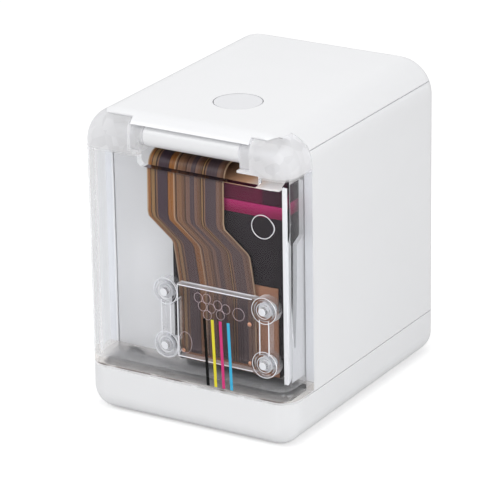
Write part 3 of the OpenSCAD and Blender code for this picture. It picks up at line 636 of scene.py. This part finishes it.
def ring_mesh(name, rings, wire):
    """Thin wire rings facing the front, in mm: each (x, y, z, half width, half height)."""
    bm = bmesh.new()
    around = 40
    section = 8
    for cx, cy, cz, half_w, half_h in rings:
        loops = []
        for i in range(around):
            a = 2 * math.pi * i / around
            loop = []
            for k in range(section):
                b = 2 * math.pi * k / section
                out = wire * math.cos(b)
                loop.append(vertex(bm, cx + (half_w + out) * math.cos(a), cy + wire * math.sin(b),
                                   cz + (half_h + out) * math.sin(a)))
            loops.append(loop)
        for i in range(around):
            join_loops(bm, loops[i], loops[(i + 1) % around], smooth=True)
    turn_outward(bm)
    return finished_mesh(bm, name)


def tube_mesh(name, paths, wire):
    """Thin square wires along paths of (x, y, z) points in a plane across Y, in mm."""
    bm = bmesh.new()
    section = ((-1, -1), (1, -1), (1, 1), (-1, 1))
    for path in paths:
        for start, end in zip(path, path[1:]):
            run = Vector((end[0] - start[0], 0.0, end[2] - start[2])).normalized()
            across = Vector((-run.z, 0.0, run.x))
            ends = []
            for point, reach in ((start, -wire), (end, wire)):
                row = []
                for a, b in section:
                    place = Vector(point) + run * reach * 0.5 + across * wire * a + Vector((0, wire * b, 0))
                    row.append(bm.verts.new(place * MM))
                ends.append(row)
            join_loops(bm, *ends)
            bm.faces.new(ends[0])
            bm.faces.new(ends[1])
    turn_outward(bm)
    bmesh.ops.bevel(bm, geom=bm.edges[:], offset=wire * TUBE_BEVEL * MM, segments=2, profile=0.5,
                    affect="EDGES")
    return finished_mesh(bm, name)


def dome_mesh(name, places, radius, height):
    """Low round studs that bulge towards the front, in mm: each (x, y, z) at its back."""
    bm = bmesh.new()
    around = 20
    rows = 6
    for cx, cy, cz in places:
        last = None
        for k in range(rows):
            lean = math.pi / 2 * k / rows
            r = radius * math.cos(lean)
            y = cy - height * math.sin(lean)
            turns = [2 * math.pi * i / around for i in range(around)]
            row = [vertex(bm, cx + r * math.cos(a), y, cz + r * math.sin(a)) for a in turns]
            if last:
                join_loops(bm, last, row, smooth=True)
            else:
                bm.faces.new(row)
            last = row
        bm.faces.new(last)
    turn_outward(bm)
    return finished_mesh(bm, name)


def prism_mesh(name, outline, y0, y1):
    """Closed prism along Y from an outline of (x, z) points, in mm."""
    bm = bmesh.new()
    ends = [[vertex(bm, x, y, z) for x, z in outline] for y in (y0, y1)]
    bm.faces.new(ends[0])
    bm.faces.new(ends[1])
    join_loops(bm, *ends)
    turn_outward(bm)
    return finished_mesh(bm, name)


# ---------- flex cable ----------

# Middle of the flex at heights down its front run, in mm: (x, z)
FLEX_RUN = [
    (-1.75, 56.8), (-1.85, 46.9), (-1.6, 45.8), (3.9, 41.4), (4.4, 40.6), (4.9, 37.5), (5.6, 32.5),
    (5.7, 16.4),
]
FLEX_HALF = 9.4
FLEX_Y = -28.75
FLEX_THICKNESS = 0.24
FLEX_BEND = 3.0
FLEX_BACK_Y = 26.0
# Rows of faces over the cartridge and in the bend, their length down the front, and columns across
FLEX_ROWS = 12
FLEX_ROW_LENGTH = 1.2
FLEX_COLUMNS = 24


def flex_centres():
    """Centre line from the connector over the bend and down the front, in mm: (x, y, z)."""
    points = []
    x, bend_z = FLEX_RUN[0]
    top = bend_z + FLEX_BEND
    middle_y = FLEX_Y + FLEX_BEND
    for i in range(FLEX_ROWS):
        points.append((x, FLEX_BACK_Y + (middle_y - FLEX_BACK_Y) * i / FLEX_ROWS, top))
    for i in range(FLEX_ROWS + 1):
        turn = math.pi / 2 * i / FLEX_ROWS
        points.append((x, middle_y - FLEX_BEND * math.sin(turn), bend_z + FLEX_BEND * math.cos(turn)))
    for (x0, z0), (x1, z1) in zip(FLEX_RUN, FLEX_RUN[1:]):
        steps = max(1, round(abs(z1 - z0) / FLEX_ROW_LENGTH))
        for i in range(1, steps + 1):
            share = i / steps
            points.append((x0 + (x1 - x0) * share, FLEX_Y, z0 + (z1 - z0) * share))
    return points


def make_flex():
    """Flat cable as one film, with its width along X all the way."""
    bm = bmesh.new()
    uv_layer = bm.loops.layers.uv.new("along")
    centres = flex_centres()
    rows = []
    run = 0.0
    last = centres[0]
    for x, y, z in centres:
        run += math.dist((x, y, z), last) * MM
        last = (x, y, z)
        row = []
        for i in range(FLEX_COLUMNS + 1):
            share = i / FLEX_COLUMNS
            row.append((vertex(bm, x + FLEX_HALF * (2 * share - 1), y, z), share, run))
        rows.append(row)
    for upper, lower in zip(rows, rows[1:]):
        for i in range(FLEX_COLUMNS):
            corners = [upper[i], lower[i], lower[i + 1], upper[i + 1]]
            face = bm.faces.new([c[0] for c in corners])
            face.smooth = True
            for loop, corner in zip(face.loops, corners):
                loop[uv_layer].uv = (corner[1], corner[2])
    mesh = finished_mesh(bm, "flex_cable")
    obj = add_object(mesh, flex_material(), None, ("flex_front", "flex_tail"))
    thicken(obj, FLEX_THICKNESS)
    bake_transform(obj)


# ---------- film on the cartridge lid ----------

LID_FILM_X = (-4.6, 20.2)
LID_FILM_THICKNESS = 0.1
# Height of its middle over the lid, and distances from the lid's front where it has an edge
LID_FILM_LIFT = 0.09
LID_FILM_RUN = (20, 14, 8, 3, 1, 0.2)


def make_lid_film():
    """Film lying on the cartridge lid, brown with painted amber shade."""
    lowest, highest = in_mm(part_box("cartridge_lid"))
    bm = bmesh.new()
    rows = []
    for run in LID_FILM_RUN:
        rows.append([vertex(bm, x, lowest[1] + run, highest[2] + LID_FILM_LIFT) for x in LID_FILM_X])
    for a, b in zip(rows, rows[1:]):
        bm.faces.new((a[0], a[1], b[1], b[0])).smooth = True
    mesh = finished_mesh(bm, "lid_film")
    obj = add_object(mesh, lid_film_material(), "housing")
    thicken(obj, LID_FILM_THICKNESS)


# ---------- clear cover and the black guide mark ----------

# Notch above the front wall of the clear cover, in mm: its outline (x, z), and the depth it is cut
NOTCH = [
    (-11.2, 61.8), (-11.2, 58.9), (-10.4, 58.1), (17.6, 58.1), (18.4, 58.9), (18.4, 60.6), (13.2, 60.6),
    (13.2, 61.8),
]
NOTCH_Y = (-34.0, -30.9)
SHARP_ANGLE = math.radians(30)
# Vertices of the CAD mesh closer than this are one, in metres
WELD = 1e-7
# Black mark, in mm: its width and depth, and how high and how far in its bevelled tip goes
MARK_WIDTH = 0.68
MARK_DEPTH = 0.1
MARK_TIP_HEIGHT = 0.2
MARK_TIP_IN = 0.15


def make_cover():
    """Clear cover with its notch cut down to the flex's bend."""
    bm = bmesh.new()
    bm.from_mesh(nodes["clear_cover"].data)
    bmesh.ops.remove_doubles(bm, verts=bm.verts, dist=WELD)
    bm.verts.index_update()
    places = [v.co[:] for v in bm.verts]
    faces = [[v.index for v in face.verts] for face in bm.faces]
    bm.free()
    whole = bpy.data.meshes.new("cover_whole")
    whole.from_pydata(places, [], faces)
    solid = link_object("cover_whole", whole)
    cutter = link_object("cover_notch", prism_mesh("cover_notch", NOTCH, *NOTCH_Y))
    cut = solid.modifiers.new("notch", "BOOLEAN")
    cut.operation = "DIFFERENCE"
    cut.solver = "EXACT"
    cut.object = cutter
    depsgraph = bpy.context.evaluated_depsgraph_get()
    mesh = bpy.data.meshes.new_from_object(solid.evaluated_get(depsgraph))
    mesh.name = "cover_moulding"
    mesh.materials.clear()
    for obj in (solid, cutter):
        bpy.data.objects.remove(obj)
    mesh.shade_smooth()
    mesh.set_sharp_from_angle(angle=SHARP_ANGLE)
    add_object(mesh, CLEAR, "door", ("clear_cover",))


def make_black_mark():
    """Black guide mark as wide as the photograph shows it, with the slant of the coloured ones."""
    lowest, highest = in_mm(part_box("guide_line_black"))
    cyan_lowest, cyan_highest = in_mm(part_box("guide_line_cyan"))
    slant = cyan_highest[0] - cyan_lowest[0] - MARK_WIDTH
    middle = (lowest[0] + highest[0]) / 2
    y, z0 = lowest[1:]
    z1 = highest[2]
    half = MARK_WIDTH / 2
    top = middle - slant / 2
    bottom = middle + slant / 2
    outline = [
        (bottom - half, z0), (bottom + half, z0), (top + half, z1 - MARK_TIP_HEIGHT),
        (top + half - MARK_TIP_IN, z1), (top - half + MARK_TIP_IN, z1), (top - half, z1 - MARK_TIP_HEIGHT),
    ]
    mesh = prism_mesh("black_mark", outline, y, y + MARK_DEPTH)
    add_object(mesh, LINE_BLACK, "door", ("guide_line_black",))


# ---------- rings, rims and studs, in mm ----------

# Ring on the cartridge, white as a painted highlight: its middle in X and Z, its radius, its wire, and how
# far in front of the face
CARTRIDGE_RING = (16.55, 47.8)
CARTRIDGE_RING_RADIUS = 2.6
CARTRIDGE_RING_WIRE = 0.08
CARTRIDGE_RING_LIFT = 0.05
# Copper studs on the front of the flex: the middles of their backs, their radius and their height
STUD_PLACES = [(13.5, -28.9, 25.6), (13.5, -28.9, 16.7), (-3.0, -28.9, 16.5)]
STUD_RADIUS = 0.5
STUD_HEIGHT = 0.35
# Dimples in the press block, (x, z): eight of one half width and half height, and two with their own.
# Their wire, and how far in front of the block all its details lie
SMALL_DIMPLES = [
    (2.2, 30.3), (4.3, 30.4), (3.2, 28.5), (5.4, 28.4), (7.0, 29.4), (4.4, 26.7), (7.6, 27.3), (9.0, 28.9),
]
SMALL_DIMPLE_HALF = (1.0, 1.05)
LARGE_DIMPLES = [(12.1, 28.3, 1.4, 1.4), (-1.2, 19.4, 1.6, 2.4)]
DIMPLE_WIRE = 0.035
BLOCK_LIFT = 0.02
# Painted highlights on the rims of the press block: their ends in X, the right one short of the right
# posts, how far inside the block's height they lie, how far behind the front rim the rear one is, and their
# wire
BLOCK_RIM_X = (-2.95, 15.35)
BLOCK_RIM_DROP = 0.95
BLOCK_RIM_BACK = 1.9
RIM_WIRE = 0.1
# Painted highlights on the rims of the side rails: how far beside the posts, and how far inside the block's
# rims
RAIL_HALF = 1.1
RAIL_DROP = 4.2
# Rings around each post, white as painted highlights on its edges, and how far in front of the block's other
# details they lie
POST_RING_RADII = (1.15, 1.75, 2.9)
POST_RING_WIRE = 0.09
POST_RING_LIFT = 0.1


def post_lines(axis):
    """The two places in X, for axis 0, or in Z, for axis 1, at which posts stand."""
    return [(POST_CENTRE[axis] + sign * POST_OFFSET[axis]) / MM for sign in (-1, 1)]


def make_cartridge_ring():
    x, z = CARTRIDGE_RING
    y = in_mm(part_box("cartridge_body"))[0][1] - CARTRIDGE_RING_LIFT
    # painted highlight: the ring is white on the black cartridge
    ring = (x, y, z, CARTRIDGE_RING_RADIUS, CARTRIDGE_RING_RADIUS)
    mesh = ring_mesh("cartridge_ring", [ring], CARTRIDGE_RING_WIRE)
    add_object(mesh, RING_HIGHLIGHT, "housing")


def make_contact_studs():
    mesh = dome_mesh("contact_studs", STUD_PLACES, STUD_RADIUS, STUD_HEIGHT)
    add_object(mesh, COPPER_DOT, "door")


def make_block_rings(y):
    """Outlines of the dimples in the face of the press block."""
    rings = [(x, y, z, *SMALL_DIMPLE_HALF) for x, z in SMALL_DIMPLES]
    rings += [(x, y, z, half_w, half_h) for x, z, half_w, half_h in LARGE_DIMPLES]
    add_object(ring_mesh("block_rings", rings, DIMPLE_WIRE), DIMPLE, "door")


def make_block_rim_highlights(y):
    """White wires painted as highlights along the rims of the press block and its side rails."""
    lowest, highest = in_mm(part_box("press_block"))
    low_z = lowest[2] + BLOCK_RIM_DROP
    high_z = highest[2] - BLOCK_RIM_DROP
    left, right = BLOCK_RIM_X
    back_y = y + BLOCK_RIM_BACK
    # painted highlights: white wires along the rims of the block and its rails
    rim_highlights = [
        [(right, y, low_z), (left, y, low_z), (left, y, high_z), (right, y, high_z)],
        [(left, back_y, high_z), (right, back_y, high_z)],
    ]
    for rail_x in post_lines(0):
        for side in (-RAIL_HALF, RAIL_HALF):
            x = rail_x + side
            rim_highlights.append([(x, y, low_z + RAIL_DROP), (x, y, high_z - RAIL_DROP)])
    add_object(tube_mesh("block_rim_highlights", rim_highlights, RIM_WIRE), RING_HIGHLIGHT, "door")


def make_post_ring_highlights(y):
    """Rings around the four posts and their screws, white as painted highlights."""
    # painted highlights: white rings on the edges of each post
    rings = []
    for x in post_lines(0):
        for z in post_lines(1):
            for radius in POST_RING_RADII:
                rings.append((x, y - POST_RING_LIFT, z, radius, radius))
    add_object(ring_mesh("post_ring_highlights", rings, POST_RING_WIRE), RING_HIGHLIGHT, "door")


def make_details():
    make_cartridge_ring()
    make_contact_studs()
    block_y = in_mm(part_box("press_block"))[0][1] - BLOCK_LIFT
    make_block_rings(block_y)
    make_block_rim_highlights(block_y)
    make_post_ring_highlights(block_y)


# ---------- floor, world and lamps ----------

FLOOR_HALF = 3.0
FLOOR_Z = -0.0001
FLOOR_PAINT = (0.8, 0.8, 0.8)
FLOOR_GLOW = 0.38
WORLD_WHITE = (1.0, 1.0, 1.0)
WORLD_LIGHT = 0.58
# Lamps: name, place, target, size and power
LAMPS = [
    ("lamp_left", (-0.5, -0.45, 0.45), (0.0, 0.0, 0.03), 0.35, 1.6),
    ("lamp_top", (0.05, -0.05, 0.75), (0.0, 0.0, 0.03), 0.4, 1.2),
    ("lamp_right", (0.32, -0.19, 0.2), (0.02, -0.03, 0.03), 0.15, 0.46),
]


def make_floor():
    """Pale floor that keeps the object's soft shadow."""
    mesh = bpy.data.meshes.new("floor")
    corners = [(x * FLOOR_HALF, y * FLOOR_HALF, FLOOR_Z) for x, y in ((-1, -1), (1, -1), (1, 1), (-1, 1))]
    mesh.from_pydata(corners, [], [(0, 1, 2, 3)])
    floor = link_object("floor", mesh)
    material, tree = new_material("floor_paint")
    paint = tree.add("ShaderNodeBsdfDiffuse", Color=FLOOR_PAINT).outputs["BSDF"]
    glow = tree.add("ShaderNodeEmission", Strength=FLOOR_GLOW).outputs["Emission"]
    both = tree.add_in_order("ShaderNodeAddShader", None, paint, glow).outputs["Shader"]
    is_camera = tree.add("ShaderNodeLightPath").outputs["Is Camera Ray"]
    tree.show(tree.mix_shader(is_camera, paint, both))
    mesh.materials.append(material)


def make_world():
    """White behind the object, plain soft light around it."""
    world = bpy.data.worlds.new("world")
    bpy.context.scene.world = world
    tree = Tree(world, "ShaderNodeOutputWorld")
    seen = tree.add("ShaderNodeBackground", Color=WORLD_WHITE, Strength=1.0).outputs["Background"]
    light = tree.add("ShaderNodeBackground", Color=WORLD_WHITE, Strength=WORLD_LIGHT).outputs["Background"]
    rays = tree.add("ShaderNodeLightPath").outputs
    is_seen = tree.math("MAXIMUM", rays["Is Camera Ray"], rays["Is Transmission Ray"])
    is_seen = tree.math("MAXIMUM", is_seen, rays["Is Glossy Ray"])
    tree.show(tree.mix_shader(is_seen, light, seen))


def make_lamp(name, place, target, size, power):
    """Square soft lamp that looks at the target."""
    data = bpy.data.lights.new(name, "AREA")
    data.shape = "SQUARE"
    data.size = size
    data.energy = power
    lamp = link_object(name, data)
    lamp.location = place
    lamp.rotation_euler = (Vector(target) - Vector(place)).to_track_quat("-Z", "Y").to_euler()


def main():
    bpy.context.scene.view_settings.view_transform = "Standard"
    make_camera()
    make_world()
    make_floor()
    for lamp in LAMPS:
        make_lamp(*lamp)
    for name, material in FINISH.items():
        dress(name, material)
    make_cover()
    make_black_mark()
    make_flex()
    make_lid_film()
    make_details()


main()
